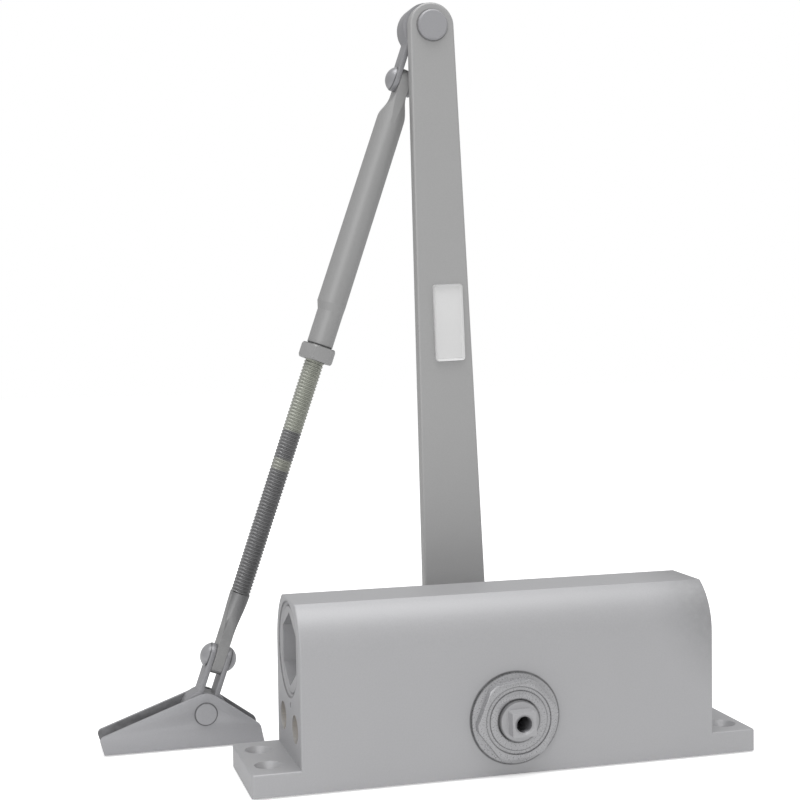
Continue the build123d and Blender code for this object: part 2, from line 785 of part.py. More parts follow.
def forearm_tube():
    """Tube with a flattened upper end and a swaged neck for the thread."""
    outline = Circle(blade_half_width)
    outline += Pos(0, -tube_blade_length / 2) * Rectangle(knuckle_width, tube_blade_length)
    end = blade(outline)
    end += Pos(0, 0, -tube_blade_length) * flare(tube_taper_length, tube_top_radius, tube_top_radius, 0)
    stem = Pos(0, 0, -tube_blade_length - tube_taper_length) * Circle(tube_top_radius)
    shoulder = Pos(0, 0, -tube_neck_start) * Circle(tube_radius)
    neck = Pos(thread_offset, 0, tube_neck_length - tube_length) * Circle(tube_neck_radius)
    barrel_middle = tube_neck_length / 2 - tube_length
    barrel = Pos(thread_offset, 0, barrel_middle) * Cylinder(tube_neck_radius, tube_neck_length)
    barrel = chamfer(barrel.edges().group_by(Axis.Z)[0], tube_mouth_chamfer)
    tube = end + loft([stem, shoulder]) + loft([shoulder, neck]) + barrel
    bore_middle = -tube_length + tube_bore_length / 2
    return tube - Pos(thread_offset, 0, bore_middle) * Cylinder(tube_bore_radius, tube_bore_length)


def lock_nut():
    outline = Rot(0, 0, nut_turn) * RegularPolygon(nut_across / 2, 6, major_radius=False)
    corner = nut_across / 2 / cos(radians(30))
    blank = extrude(outline, amount=-nut_height)
    rounding = Pos(0, 0, -nut_height / 2) * Cylinder(corner, nut_height)
    rounding = chamfer(rounding.edges().filter_by(GeomType.CIRCLE), nut_edge_chamfer)
    hole = Pos(0, 0, -nut_height / 2) * Cylinder(rod_radius + running_clearance, 2 * nut_height)
    return Pos(thread_offset, 0, -tube_length - axial_play) * ((blank & rounding) - hole)


def adjusting_rod():
    """Threaded rod with two long flats and a flattened lower end."""
    height = rod_blade_length + rod_blade_overhang
    outline = Pos(0, rod_blade_overhang - height / 2) * Rectangle(knuckle_width, height)
    end = blade(fillet(outline.vertices().group_by(Axis.Y)[-1], rod_blade_corner_radius))
    narrowing = flare(rod_taper_length, rod_radius, rod_flat_width / 2, -thread_offset)
    end += Pos(0, 0, -rod_blade_length) * narrowing
    round_start = rod_blade_length + rod_taper_length
    length = rod_length - round_start
    bar = Cylinder(rod_radius, length) & Box(rod_flat_width, 3 * rod_radius, length)
    middle = -forearm_length + round_start + length / 2
    return Pos(thread_offset, 0, middle) * bar + Pos(0, 0, -forearm_length) * Rot(0, 180, 0) * end


def shoe_wall_outline():
    """Tapered cheek with a round ear about the pin, drawn about the pin centre."""
    floor = -shoe_pin_height
    left = Pos(-shoe_left_reach + shoe_corner_radius, floor + shoe_left_height) * Circle(shoe_corner_radius)
    right_x = shoe_right_reach - shoe_right_corner_radius
    right_y = floor + shoe_right_height - shoe_right_corner_radius
    right = Pos(right_x, right_y) * Circle(shoe_right_corner_radius)
    base = Line((-shoe_left_foot, floor), (shoe_right_foot, floor))
    edges = Circle(shoe_ear_radius).edges() + left.edges() + right.edges() + base.edges()
    return make_hull(edges)


def shoe_bracket():
    inner = knuckle_width / 2 + shoe_side_gap
    outer = inner + shoe_wall
    floor = -shoe_pin_height
    block = plate_in_xz(shoe_wall_outline(), -outer, outer)
    span = shoe_left_reach + shoe_right_foot
    trough_height = shoe_pin_height - shoe_wall + shoe_ear_radius + 1
    trough = Pos((shoe_right_foot - shoe_left_reach) / 2, 0, floor + shoe_wall + trough_height / 2)
    block -= trough * Box(span + 2, 2 * inner, trough_height)
    block -= rod_along_y(pivot_radius + running_clearance, -outer - 1, outer + 1)
    for x in (-shoe_hole_left, shoe_hole_right):
        block -= Pos(x, 0, floor) * Cylinder(shoe_hole_radius, 3 * shoe_wall)
    return block


def shoe_pin():
    inner = knuckle_width / 2 + shoe_side_gap
    outer = inner + shoe_wall
    pin = rod_along_y(pivot_radius, -outer, outer)
    head = rod_along_y(shoe_head_radius, outer, outer + shoe_head_height)
    head = chamfer(head.edges().group_by(Axis.Y)[-1], shoe_head_height / 3)
    return pin + head + mirror(head, Plane.XZ)


def as_front(solid):
    """The same piece on the opposite side of the centre plane."""
    return mirror(solid, Plane.XZ)


piston_solid, piston_right_end = piston()
plug = end_plug()
shaft_seal = shaft_ring()
bush = bearing()
rivet = tilt_rivet()
elbow_link = knuckle(elbow_eye_radius, elbow_reach, -elbow_fork_offset)

nodes = {
    "housing": housing(),
    "spring_end_plug": plug,
    "valve_end_plug": mirror(plug, Plane.YZ),
    "end_plug_seals": on_both_ends(end_plug_ring()),
    "closing_speed_valve": valve_screw(-1),
    "latching_speed_valve": valve_screw(1),
    "front_bearing_cap": as_front(bearing_cap(front_cap_turn)),
    "rear_bearing_cap": bearing_cap(rear_cap_turn),
    "front_bearing": as_front(bush),
    "rear_bearing": bush,
    "shaft_seals": Compound([shaft_seal, as_front(shaft_seal)]),
    "pinion_shaft": pinion_shaft(),
    "piston": piston_solid,
    "check_valve_ball": check_valve_ball(),
    "check_valve_retainer": check_valve_retainer(),
    "closing_spring": closing_spring(piston_right_end),
    "main_arm": main_arm(),
    "arm_washer": arm_washer(),
    "arm_screw": arm_screw(),
    "elbow_rivet": elbow_rivet(),
    "elbow_spacer": elbow_spacer(),
    "elbow_knuckle": elbow_frame * Rot(0, 180, 0) * elbow_link,
    "elbow_tilt_rivet": elbow_rivet_frame * rivet,
    "forearm_tube": elbow_rivet_frame * forearm_tube(),
    "lock_nut": elbow_rivet_frame * lock_nut(),
    "adjusting_rod": elbow_rivet_frame * adjusting_rod(),
    "shoe_tilt_rivet": shoe_rivet_frame * rivet,
    "shoe_knuckle": shoe_link_frame * knuckle(shoe_eye_radius, shoe_reach, shoe_fork_offset),
    "shoe_bracket": shoe_frame * shoe_bracket(),
    "shoe_pin": shoe_frame * shoe_pin(),
}

for name, solid in nodes.items():
    export_step(solid, f"parts/{name}.step")

print("elbow axis", elbow_x, elbow_z)
print("forearm", forearm_length, forearm_lean, knuckle_centre_y)
print("piston travel", piston_travel)
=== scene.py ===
import json
from contextlib import contextmanager
from math import cos, pi, radians, sin

import bpy
from mathutils import Matrix, Vector


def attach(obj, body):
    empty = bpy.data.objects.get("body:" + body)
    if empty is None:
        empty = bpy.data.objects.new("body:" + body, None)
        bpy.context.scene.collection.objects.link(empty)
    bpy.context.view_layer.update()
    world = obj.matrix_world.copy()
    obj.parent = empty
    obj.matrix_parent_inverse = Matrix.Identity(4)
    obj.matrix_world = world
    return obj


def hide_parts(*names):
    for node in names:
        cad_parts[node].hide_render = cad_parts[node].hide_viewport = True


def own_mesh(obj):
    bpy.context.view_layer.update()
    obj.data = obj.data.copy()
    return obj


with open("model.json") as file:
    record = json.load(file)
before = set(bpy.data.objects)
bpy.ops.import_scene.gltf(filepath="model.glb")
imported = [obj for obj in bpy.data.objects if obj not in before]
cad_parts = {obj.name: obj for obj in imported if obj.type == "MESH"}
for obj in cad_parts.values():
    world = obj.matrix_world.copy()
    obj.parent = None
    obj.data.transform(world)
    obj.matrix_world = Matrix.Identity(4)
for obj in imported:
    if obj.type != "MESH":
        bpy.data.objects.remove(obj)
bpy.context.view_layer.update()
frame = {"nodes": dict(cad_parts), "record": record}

MM = 0.001
scene = bpy.context.scene

# Places in the shared frame, the same as in part.py
SPINDLE_HEIGHT = 19.4 * MM
BORE_HEIGHT = 44.0 * MM
BAR_FRONT = 42.3 * MM
FOREARM_SIDE = 52.9 * MM
ARM_LEAN = radians(1.74)
ARM = Matrix.Translation((0.0, 0.0, SPINDLE_HEIGHT)) @ Matrix.Rotation(-ARM_LEAN, 4, "Y")
ELBOW = (-7.43 * MM, 0.0, 263.987 * MM)
ELBOW_RIVET = Vector((-16.1117 * MM, FOREARM_SIDE, 244.4536 * MM))
SHOE_RIVET = (-90.0709 * MM, FOREARM_SIDE, 31.2575 * MM)
SHOE_PIN = (-95.87 * MM, 0.0, 12.1 * MM)
FOREARM_LEAN = radians(19.132024)
FOREARM = Matrix.Translation(ELBOW_RIVET) @ Matrix.Rotation(FOREARM_LEAN, 4, "Y")
FOREARM_AXIS = Vector((sin(FOREARM_LEAN), 0.0, cos(FOREARM_LEAN)))
FOREARM_ACROSS = (cos(FOREARM_LEAN), 0.0, -sin(FOREARM_LEAN))

# Adjusting rod, M8: distances down from the elbow rivet
ROD_CREST = 4.0 * MM
ROD_ROOT = 3.36 * MM
ROD_FLAT = 3.3 * MM
ROD_PITCH = 1.25 * MM
ROD_STEPS = 20
THREAD_OFFSET = 0.5 * MM
THREAD_START = 78.66 * MM
THREAD_END = 200.6 * MM

# Tapped hole, M6
HOLE_WALL = 2.74 * MM
HOLE_CREST = 2.46 * MM
HOLE_PITCH = 1.0 * MM
HOLE_STEPS = 28
HOLE_MOUTH = -29.2 * MM
HOLE_THREAD_LENGTH = 9.4 * MM

# Thread profiles: the radius, and the distance down as a share of the pitch
ROD_PROFILE = [
    (ROD_ROOT, 0.0), (ROD_ROOT, 0.16), (ROD_CREST, 0.46),
    (ROD_CREST, 0.62), (ROD_ROOT, 0.92), (ROD_ROOT, 1.0),
]
HOLE_PROFILE = [
    (HOLE_WALL, 0.12), (HOLE_CREST, 0.44), (HOLE_CREST, 0.56),
    (HOLE_WALL, 0.88), (HOLE_WALL, 0.12),
]

# Label, in the arm's own frame
LABEL_WIDTH = 11.4 * MM
LABEL_HEIGHT = 28.7 * MM
LABEL_THICKNESS = 0.12 * MM
LABEL_CORNER = 1.2 * MM
LABEL_ACROSS = 1.6 * MM
LABEL_ALONG = 134.5 * MM

# Modelling: vertices closer than the weld gap are one; angles in degrees
WELD_GAP = 0.002 * MM
SMOOTH_ANGLE = 30.0
COIL_SMOOTH_ANGLE = 50.0
FLAT_ANGLE = 0.4
SHARP_ANGLE = 28.0
EDGE_SEGMENTS = 2

# Nodes whose sharp edges are rounded a little, with the width in millimetres
SOFT_EDGES = {
    "front_bearing_cap": 0.18,
    "rear_bearing_cap": 0.18,
    "lock_nut": 0.6,
    "pinion_shaft": 0.2,
    "shoe_bracket": 0.45,
    "elbow_knuckle": 0.5,
    "shoe_knuckle": 0.5,
    "arm_screw": 0.3,
    "arm_washer": 0.2,
    "elbow_spacer": 0.2,
}

# Camera, fitted to the photograph: angles in radians, focal length in the photograph's pixels
CAMERA_PLACE = (-0.169144, -0.494353, 0.152576)
CAMERA_YAW = 0.268
CAMERA_PITCH = 0.049
CAMERA_ROLL = -0.014
FOCAL_LENGTH = 1495.893
PHOTO_WIDTH = 800.0
SENSOR_WIDTH = 36.0

# Studio
WHITE = (1.0, 1.0, 1.0, 1.0)
WORLD_LIGHT = 0.53
FLOOR_SIZE = 6.0
FLOOR_HEIGHT = -0.6 * MM
FLOOR_PAPER = (0.9, 0.9, 0.9, 1.0)
FLOOR_GLOW = 0.55
LIT_POINT = (0.0, 0.0, 0.1)

# Textures: scale and strength of the cloud, scale and strength of the grain
SPRAY_TEXTURE = (28.0, 0.05, 1700.0, 0.16)
STEEL_TEXTURE = (180.0, 0.12, 1600.0, 0.15)
ROD_TEXTURE = (220.0, 0.2, 1800.0, 0.3)
RUBBER_TEXTURE = (200.0, 0.2, 1500.0, 0.3)
FILM_TEXTURE = (90.0, 0.05, 1500.0, 0.04)
PEEL_SCALE = 420.0
# Scale of the noise that breaks up the painted shade
SHADE_NOISE_SCALE = 420.0
NOISE_LOW = 0.3
NOISE_HIGH = 0.7

# Depths of the fine relief
PEEL_DEPTH = 0.06 * MM
GRAIN_DEPTH = 0.03 * MM
FILM_DEPTH = 0.05 * MM

# The shaft is painted from this distance out on both sides of the body's middle
PAINT_LINE = 23.0 * MM
BARE_STEEL = (0.42, 0.42, 0.42)

# Tones down the adjusting rod: millimetres from the elbow rivet, and the sRGB colour there
ROD_BANDS_START = 100.0 * MM
ROD_BANDS_END = 230.0 * MM
ROD_BANDS = [
    (137.3, (168, 170, 161)),
    (138.0, (128, 128, 129)),
    (148.3, (128, 128, 129)),
    (148.9, (160, 161, 153)),
    (152.4, (160, 161, 153)),
    (153.1, (126, 126, 127)),
    (200.4, (126, 126, 127)),
    (201.2, (134, 134, 135)),
    (222.0, (162, 162, 162)),
]


def set_camera():
    """Camera at the photograph's place: it stands left of the object and looks half right."""
    yaw, pitch, roll = CAMERA_YAW, CAMERA_PITCH, CAMERA_ROLL
    forward = Vector((sin(yaw) * cos(pitch), cos(yaw) * cos(pitch), -sin(pitch)))
    level_right = Vector((cos(yaw), -sin(yaw), 0.0))
    level_up = level_right.cross(forward)
    right = level_right * cos(roll) + level_up * sin(roll)
    up = level_up * cos(roll) - level_right * sin(roll)
    data = bpy.data.cameras.new("photo_camera")
    data.sensor_width = SENSOR_WIDTH
    data.lens = FOCAL_LENGTH / PHOTO_WIDTH * SENSOR_WIDTH
    data.clip_start = 0.01
    data.clip_end = 20.0
    camera = bpy.data.objects.new("photo_camera", data)
    scene.collection.objects.link(camera)
    turn = Matrix((right, up, -forward)).transposed().to_4x4()
    camera.matrix_world = Matrix.Translation(CAMERA_PLACE) @ turn
    scene.camera = camera


def add_softbox(name, place, width, height, power):
    """Rectangular lamp that faces the lit point."""
    data = bpy.data.lights.new(name, "AREA")
    data.shape = "RECTANGLE"
    data.size = width
    data.size_y = height
    data.energy = power
    lamp = bpy.data.objects.new(name, data)
    scene.collection.objects.link(lamp)
    lamp.location = place
    lamp.rotation_euler = (Vector(LIT_POINT) - Vector(place)).to_track_quat("-Z", "Y").to_euler()


def set_world():
    """White to the camera, plain grey light for everything else."""
    world = bpy.data.worlds.new("studio")
    scene.world = world
    world.use_nodes = True
    nodes = world.node_tree.nodes
    links = world.node_tree.links
    nodes.clear()
    path = nodes.new("ShaderNodeLightPath")
    seen = nodes.new("ShaderNodeBackground")
    seen.inputs["Color"].default_value = WHITE
    seen.inputs["Strength"].default_value = 1.0
    light = nodes.new("ShaderNodeBackground")
    light.inputs["Color"].default_value = WHITE
    light.inputs["Strength"].default_value = WORLD_LIGHT
    mix = nodes.new("ShaderNodeMixShader")
    out = nodes.new("ShaderNodeOutputWorld")
    links.new(path.outputs["Is Camera Ray"], mix.inputs["Fac"])
    links.new(light.outputs["Background"], mix.inputs[1])
    links.new(seen.outputs["Background"], mix.inputs[2])
    links.new(mix.outputs["Shader"], out.inputs["Surface"])


def set_floor():
    """Pale paper that shades softly under the object and glows a little to the camera."""
    bpy.ops.mesh.primitive_plane_add(size=FLOOR_SIZE, location=(0.0, 0.0, FLOOR_HEIGHT))
    floor = bpy.context.object
    floor.name = "studio_floor"
    material = bpy.data.materials.new("studio_paper")
    material.use_nodes = True
    nodes = material.node_tree.nodes
    links = material.node_tree.links
    nodes.clear()
    path = nodes.new("ShaderNodeLightPath")
    paper = nodes.new("ShaderNodeBsdfDiffuse")
    paper.inputs["Color"].default_value = FLOOR_PAPER
    glow = nodes.new("ShaderNodeEmission")
    glow.inputs["Color"].default_value = WHITE
    glow.inputs["Strength"].default_value = FLOOR_GLOW
    none = nodes.new("ShaderNodeEmission")
    none.inputs["Strength"].default_value = 0.0
    pick = nodes.new("ShaderNodeMixShader")
    both = nodes.new("ShaderNodeAddShader")
    out = nodes.new("ShaderNodeOutputMaterial")
    links.new(path.outputs["Is Camera Ray"], pick.inputs["Fac"])
    links.new(none.outputs["Emission"], pick.inputs[1])
    links.new(glow.outputs["Emission"], pick.inputs[2])
    links.new(paper.outputs["BSDF"], both.inputs[0])
    links.new(pick.outputs["Shader"], both.inputs[1])
    links.new(both.outputs["Shader"], out.inputs["Surface"])
    floor.data.materials.append(material)


def new_group(name, inputs, outputs):
    tree = bpy.data.node_groups.new(name, "ShaderNodeTree")
    for label, kind, value in inputs:
        socket = tree.interface.new_socket(label, in_out="INPUT", socket_type=kind)
        socket.default_value = value
    for label, kind in outputs:
        tree.interface.new_socket(label, in_out="OUTPUT", socket_type=kind)
    start = tree.nodes.new("NodeGroupInput")
    end = tree.nodes.new("NodeGroupOutput")
    return tree, start, end


def math_node(tree, operation, first, second=None, third=None):
    node = tree.nodes.new("ShaderNodeMath")
    node.operation = operation
    for index, value in enumerate((first, second, third)):
        if value is None:
            continue
        if isinstance(value, (int, float)):
            node.inputs[index].default_value = value
        else:
            tree.links.new(value, node.inputs[index])
    return node.outputs[0]


def vector_node(tree, operation, first, second=None):
    """Vector maths on a socket and, where the operation takes one, a fixed vector."""
    node = tree.nodes.new("ShaderNodeVectorMath")
    node.operation = operation
    tree.links.new(first, node.inputs[0])
    if second is not None:
        node.inputs[1].default_value = second
    return node


def dimmed(tree, color, level):
    """Colour times a level."""
    node = vector_node(tree, "SCALE", color)
    tree.links.new(level, node.inputs["Scale"])
    return node.outputs[0]


def noise_node(tree, vector, scale, detail, roughness=0.5):
    node = tree.nodes.new("ShaderNodeTexNoise")
    node.inputs["Detail"].default_value = detail
    node.inputs["Roughness"].default_value = roughness
    if isinstance(scale, (int, float)):
        node.inputs["Scale"].default_value = scale
    else:
        tree.links.new(scale, node.inputs["Scale"])
    tree.links.new(vector, node.inputs["Vector"])
    return node.outputs["Fac"]


def object_coordinates(tree):
    return tree.nodes.new("ShaderNodeTexCoord").outputs["Object"]


def tint_group():
    """Base colour made lighter and darker by a broad cloud and by fine grain."""
    tree, start, end = new_group(
        "Broad and fine tint",
        [
            ("Color", "NodeSocketColor", (0.5, 0.5, 0.5, 1.0)),
            ("Cloud Scale", "NodeSocketFloat", 40.0),
            ("Cloud Strength", "NodeSocketFloat", 0.05),
            ("Grain Scale", "NodeSocketFloat", 2500.0),
            ("Grain Strength", "NodeSocketFloat", 0.1),
        ],
        [("Color", "NodeSocketColor"), ("Grain", "NodeSocketFloat"), ("Cloud", "NodeSocketFloat")],
    )
    place = object_coordinates(tree)
    cloud = noise_node(tree, place, start.outputs["Cloud Scale"], 3.0)
    grain = noise_node(tree, place, start.outputs["Grain Scale"], 2.0, 0.7)
    level = 1.0
    for noise, strength in ((cloud, "Cloud Strength"), (grain, "Grain Strength")):
        swing = math_node(tree, "SUBTRACT", noise, 0.5)
        part = math_node(tree, "MULTIPLY", swing, start.outputs[strength])
        level = math_node(tree, "ADD", part, level)
    tree.links.new(dimmed(tree, start.outputs["Color"], level), end.inputs["Color"])
    tree.links.new(grain, end.inputs["Grain"])
    tree.links.new(cloud, end.inputs["Cloud"])
    return tree


def shade_band_group():
    """Painted shade: darker in a band of distances, broken up by noise."""
    tree, start, end = new_group(
        "Painted shade in a band",
        [
            ("Color", "NodeSocketColor", (0.5, 0.5, 0.5, 1.0)),
            ("Distance", "NodeSocketFloat", 0.0),
            ("Radius", "NodeSocketFloat", 0.01),
            ("Width", "NodeSocketFloat", 0.001),
            ("Edge", "NodeSocketFloat", 0.5),
            ("Strength", "NodeSocketFloat", 0.5),
        ],
        [("Color", "NodeSocketColor")],
    )
    offset = math_node(tree, "SUBTRACT", start.outputs["Distance"], start.outputs["Radius"])
    fade = tree.nodes.new("ShaderNodeMapRange")
    fade.interpolation_type = "SMOOTHSTEP"
    tree.links.new(math_node(tree, "ABSOLUTE", offset), fade.inputs["Value"])
    near = math_node(tree, "MULTIPLY", start.outputs["Width"], start.outputs["Edge"])
    tree.links.new(near, fade.inputs["From Min"])
    tree.links.new(start.outputs["Width"], fade.inputs["From Max"])
    fade.inputs["To Min"].default_value = 1.0
    fade.inputs["To Max"].default_value = 0.0
    noise = noise_node(tree, object_coordinates(tree), SHADE_NOISE_SCALE, 3.0)
    patchy = math_node(tree, "MULTIPLY_ADD", noise, 0.8, 0.6)
    cover = math_node(tree, "MULTIPLY", fade.outputs["Result"], patchy)
    amount = math_node(tree, "MULTIPLY", cover, start.outputs["Strength"])
    level = math_node(tree, "MAXIMUM", math_node(tree, "SUBTRACT", 1.0, amount), 0.02)
    tree.links.new(dimmed(tree, start.outputs["Color"], level), end.inputs["Color"])
    return tree


tint = tint_group()
shade_band_tree = shade_band_group()


def distance_from_axis(centre, across):
    """Maker of a distance from an axis; across is 1 for each direction that counts."""
    def build(tree):
        shift = vector_node(tree, "SUBTRACT", object_coordinates(tree), centre)
        flatten = vector_node(tree, "MULTIPLY", shift.outputs[0], across)
        return vector_node(tree, "LENGTH", flatten.outputs[0]).outputs["Value"]
    return build


def distance_along(centre, axis):
    """Maker of a distance from a plane through a point, on either side of it."""
    def build(tree):
        shift = vector_node(tree, "SUBTRACT", object_coordinates(tree), centre)
        along = vector_node(tree, "DOT_PRODUCT", shift.outputs[0], axis)
        return math_node(tree, "ABSOLUTE", along.outputs["Value"])
    return build


ACROSS_X = (0.0, 1.0, 1.0)
ACROSS_Y = (1.0, 0.0, 1.0)
SPINDLE_DISTANCE = distance_from_axis((0.0, 0.0, SPINDLE_HEIGHT), ACROSS_Y)
BORE_DISTANCE = distance_from_axis((0.0, 0.0, BORE_HEIGHT), ACROSS_X)
RIGHT_SHOULDER_DISTANCE = distance_from_axis((90.0 * MM, 0.0, 57.0 * MM), ACROSS_Y)
ELBOW_DISTANCE = distance_from_axis(ELBOW, ACROSS_Y)
SHOE_PIN_DISTANCE = distance_from_axis(SHOE_PIN, ACROSS_Y)
SHOE_MIDDLE_DISTANCE = distance_along((0.0, FOREARM_SIDE, 0.0), (0.0, 1.0, 0.0))
ELBOW_RIVET_DISTANCE = distance_along(ELBOW_RIVET, FOREARM_ACROSS)
SHOE_RIVET_DISTANCE = distance_along(SHOE_RIVET, FOREARM_ACROSS)
TUBE_DISTANCE = distance_along(ELBOW_RIVET, FOREARM_AXIS)


def add_painted_shade(tree, color, shade_bands):
    """Painted shade in bands, each of (distance, radius, width, edge, strength), with lengths in
    millimetres.
    """
    for distance, radius, width, edge, strength in shade_bands:
        group = tree.nodes.new("ShaderNodeGroup")
        group.node_tree = shade_band_tree
        tree.links.new(color, group.inputs["Color"])
        tree.links.new(distance(tree), group.inputs["Distance"])
        group.inputs["Radius"].default_value = radius * MM
        group.inputs["Width"].default_value = width * MM
        group.inputs["Edge"].default_value = edge
        group.inputs["Strength"].default_value = strength
        color = group.outputs["Color"]
    return color


def new_material(name):
    material = bpy.data.materials.new(name)
    material.use_nodes = True
    tree = material.node_tree
    return material, tree, tree.nodes["Principled BSDF"]


def add_tint(tree, color, texture):
    cloud_scale, cloud, grain_scale, grain = texture
    group = tree.nodes.new("ShaderNodeGroup")
    group.node_tree = tint
    group.inputs["Color"].default_value = (*color, 1.0)
    group.inputs["Cloud Scale"].default_value = cloud_scale
    group.inputs["Cloud Strength"].default_value = cloud
    group.inputs["Grain Scale"].default_value = grain_scale
    group.inputs["Grain Strength"].default_value = grain
    return group


def add_bump(tree, height, distance, strength, shader):
    bump = tree.nodes.new("ShaderNodeBump")
    bump.inputs["Strength"].default_value = strength
    bump.inputs["Distance"].default_value = distance
    tree.links.new(height, bump.inputs["Height"])
    tree.links.new(bump.outputs["Normal"], shader.inputs["Normal"])


def add_roughness(tree, noise, low, high, shader):
    """Roughness between two values, from a noise that lies mostly between its low and high."""
    node = tree.nodes.new("ShaderNodeMapRange")
    node.inputs["From Min"].default_value = NOISE_LOW
    node.inputs["From Max"].default_value = NOISE_HIGH
    node.inputs["To Min"].default_value = low
    node.inputs["To Max"].default_value = high
    tree.links.new(noise, node.inputs["Value"])
    tree.links.new(node.outputs["Result"], shader.inputs["Roughness"])


def silver_paint(name, color, roughness=0.48, metallic=0.3, shade_bands=()):
    """Sprayed silver paint: fine flake, a little orange peel, a faint broad cloud, and painted
    shade in the given bands.
    """
    material, tree, shader = new_material(name)
    group = add_tint(tree, color, SPRAY_TEXTURE)
    flake = group.outputs["Grain"]
    tree.links.new(add_painted_shade(tree, group.outputs["Color"], shade_bands), shader.inputs["Base Color"])
    add_roughness(tree, flake, roughness - 0.06, roughness + 0.06, shader)
    shader.inputs["Metallic"].default_value = metallic
    peel = noise_node(tree, object_coordinates(tree), PEEL_SCALE, 2.0)
    height = math_node(tree, "ADD", peel, math_node(tree, "MULTIPLY", flake, 0.35))
    add_bump(tree, height, PEEL_DEPTH, 0.5, shader)
    return material


def plain_metal(name, color, roughness=0.35):
    """Metal with a cloudy sheen and a fine grain."""
    material, tree, shader = new_material(name)
    group = add_tint(tree, color, STEEL_TEXTURE)
    tree.links.new(group.outputs["Color"], shader.inputs["Base Color"])
    shader.inputs["Metallic"].default_value = 0.9
    add_roughness(tree, group.outputs["Cloud"], roughness - 0.08, roughness + 0.08, shader)
    add_bump(tree, group.outputs["Grain"], GRAIN_DEPTH, 0.4, shader)
    return material


def rubber_material(name):
    material, tree, shader = new_material(name)
    group = add_tint(tree, (0.02, 0.02, 0.02), RUBBER_TEXTURE)
    tree.links.new(group.outputs["Color"], shader.inputs["Base Color"])
    add_roughness(tree, group.outputs["Cloud"], 0.5, 0.7, shader)
    add_bump(tree, group.outputs["Grain"], GRAIN_DEPTH, 0.3, shader)
    return material


def grey(level):
    """Linear colour of an even sRGB grey."""
    value = level / 255.0
    value = value / 12.92 if value <= 0.04045 else ((value + 0.055) / 1.055) ** 2.4
    return (value, value, value)


def colour(red, green, blue):
    """Linear colour of an sRGB colour given from 0 to 255."""
    return tuple(grey(level)[0] for level in (red, green, blue))


def rod_material(name):
    """Zinc plated thread that is dark where it was never set, and a smooth grey shank below."""
    material, tree, shader = new_material(name)
    along = vector_node(tree, "DOT_PRODUCT", object_coordinates(tree), FOREARM_AXIS)
    span = ROD_BANDS_END - ROD_BANDS_START
    start = (ELBOW_RIVET.dot(FOREARM_AXIS) - ROD_BANDS_START) / span
    fraction = math_node(tree, "MULTIPLY_ADD", along.outputs["Value"], -1.0 / span, start)
    ramp = tree.nodes.new("ShaderNodeValToRGB")
    ramp.color_ramp.interpolation = "LINEAR"
    stops = ramp.color_ramp.elements
    for index, (distance, tone) in enumerate(ROD_BANDS):
        position = (distance * MM - ROD_BANDS_START) / span
        stop = stops[index] if index < 2 else stops.new(position)
        stop.position = position
        stop.color = (*colour(*tone), 1.0)
    tree.links.new(fraction, ramp.inputs["Fac"])
    group = add_tint(tree, (0.5, 0.5, 0.5), ROD_TEXTURE)
    tree.links.new(ramp.outputs["Color"], group.inputs["Color"])
    tree.links.new(group.outputs["Color"], shader.inputs["Base Color"])
    shader.inputs["Metallic"].default_value = 0.55
    add_roughness(tree, group.outputs["Cloud"], 0.34, 0.5, shader)
    add_bump(tree, group.outputs["Grain"], GRAIN_DEPTH, 0.4, shader)
    return material


def label_material(name):
    """Off-white film with a soft sheen and a faint unevenness."""
    material, tree, shader = new_material(name)
    group = add_tint(tree, grey(222), FILM_TEXTURE)
    tree.links.new(group.outputs["Color"], shader.inputs["Base Color"])
    add_roughness(tree, group.outputs["Cloud"], 0.35, 0.45, shader)
    add_bump(tree, group.outputs["Cloud"], FILM_DEPTH, 0.3, shader)
    return material


def shaft_material(name):
    """Ground steel inside the closer, and silver paint on both ends, with painted shade round the
    shoulder and in the tapped hole.
    """
    material, tree, shader = new_material(name)
    split = tree.nodes.new("ShaderNodeSeparateXYZ")
    tree.links.new(object_coordinates(tree), split.inputs[0])
    out = math_node(tree, "ABSOLUTE", split.outputs["Y"])
    painted = math_node(tree, "GREATER_THAN", out, PAINT_LINE)
    steel = add_tint(tree, BARE_STEEL, STEEL_TEXTURE)
    sprayed = add_tint(tree, colour(176, 176, 178), SPRAY_TEXTURE)
    mix = tree.nodes.new("ShaderNodeMix")
    mix.data_type = "RGBA"
    tree.links.new(painted, mix.inputs["Factor"])
    tree.links.new(steel.outputs["Color"], mix.inputs[6])
    tree.links.new(sprayed.outputs["Color"], mix.inputs[7])
    # Painted shade: a dark ring round the shoulder, and the tapped hole darkened almost to black.
    shade_bands = [(SPINDLE_DISTANCE, 7.0, 0.5, 0.3, 0.5), (SPINDLE_DISTANCE, 0.0, 2.78, 0.97, 0.95)]
    tree.links.new(add_painted_shade(tree, mix.outputs[2], shade_bands), shader.inputs["Base Color"])
    metallic = math_node(tree, "MULTIPLY_ADD", painted, -0.6, 0.9)
    tree.links.new(metallic, shader.inputs["Metallic"])
    roughness = math_node(tree, "MULTIPLY_ADD", painted, 0.18, 0.3)
    tree.links.new(roughness, shader.inputs["Roughness"])
    add_bump(tree, sprayed.outputs["Grain"], GRAIN_DEPTH, 0.4, shader)
    return material


CAP_TONE = colour(173, 173, 175)
RIVET_TONE = colour(164, 164, 167)

